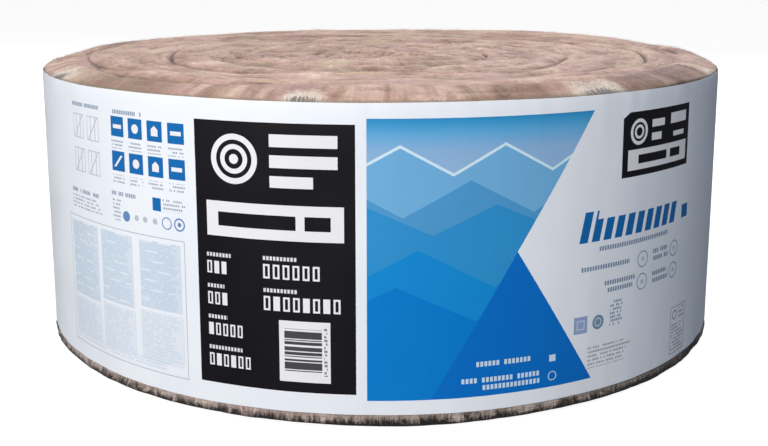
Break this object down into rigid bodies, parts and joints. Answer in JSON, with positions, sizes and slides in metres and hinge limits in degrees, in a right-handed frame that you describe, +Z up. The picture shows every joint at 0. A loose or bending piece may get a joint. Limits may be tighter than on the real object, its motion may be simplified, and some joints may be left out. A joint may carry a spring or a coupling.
{
  "type": "insulation roll",
  "caption": "Roll of unfaced glass-wool batt standing on its end, wound tight in a spiral, with a printed plastic film wrapped round its side.",
  "frame": {"origin": "middle of the end that the roll stands on, on the roll's axis", "axes": "+Z up along the roll's axis; -Y towards the printed front; +X to the right of it"},
  "size_m": [0.9654, 0.9659, 0.381],
  "materials": {
    "glass_wool": "tan fibrous wool, matt, with creases between the turns",
    "printed_film": "white polyethylene film with plain printed panels in black and blue, satin"
  },
  "bodies": {
    "root": {"wool_roll": "glass_wool", "film_wrap": "printed_film"}
  },
  "joints": []
}
